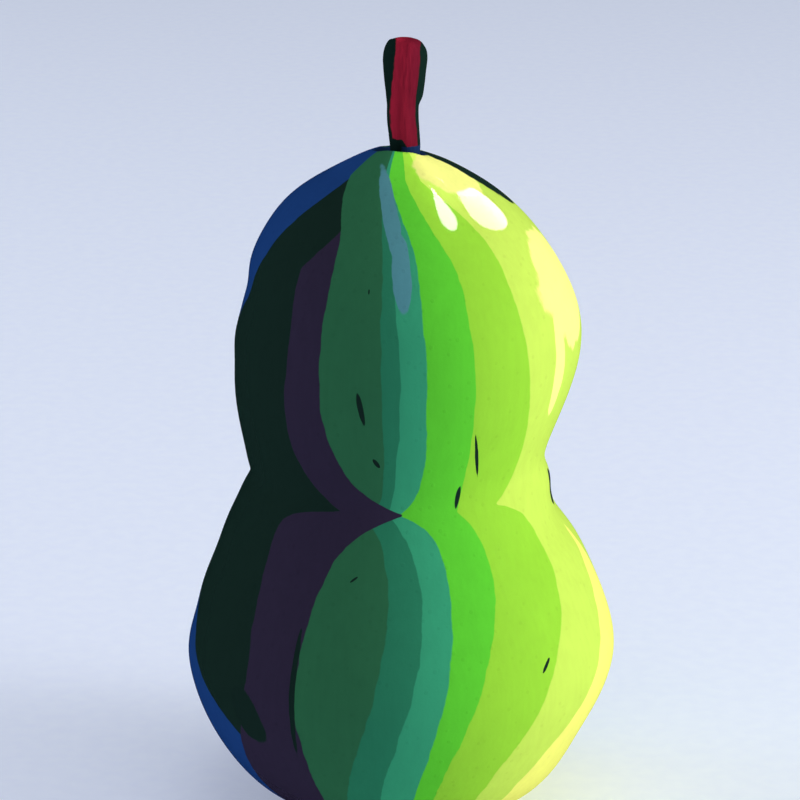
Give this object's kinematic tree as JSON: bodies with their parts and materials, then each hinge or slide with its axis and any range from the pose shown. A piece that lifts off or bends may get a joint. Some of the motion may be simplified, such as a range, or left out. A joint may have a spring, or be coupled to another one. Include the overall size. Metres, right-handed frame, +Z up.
{
  "type": "pear",
  "caption": "Whole green pear of two plump lobes with a narrow waist, a stout dark red stem and a dried calyx under it, standing on its flat foot.",
  "frame": {"origin": "middle of the flat foot that the pear stands on", "axes": "+Z up from the foot to the stem, -Y the front that the picture shows, +X the pale ripe side"},
  "size_m": [0.069, 0.069, 0.1272],
  "materials": {
    "skin": "satin",
    "bark": "matte",
    "dried_leaf": "matte"
  },
  "bodies": {
    "root": {"pear_body": "skin", "stem": "bark", "calyx": "dried_leaf"}
  },
  "joints": []
}
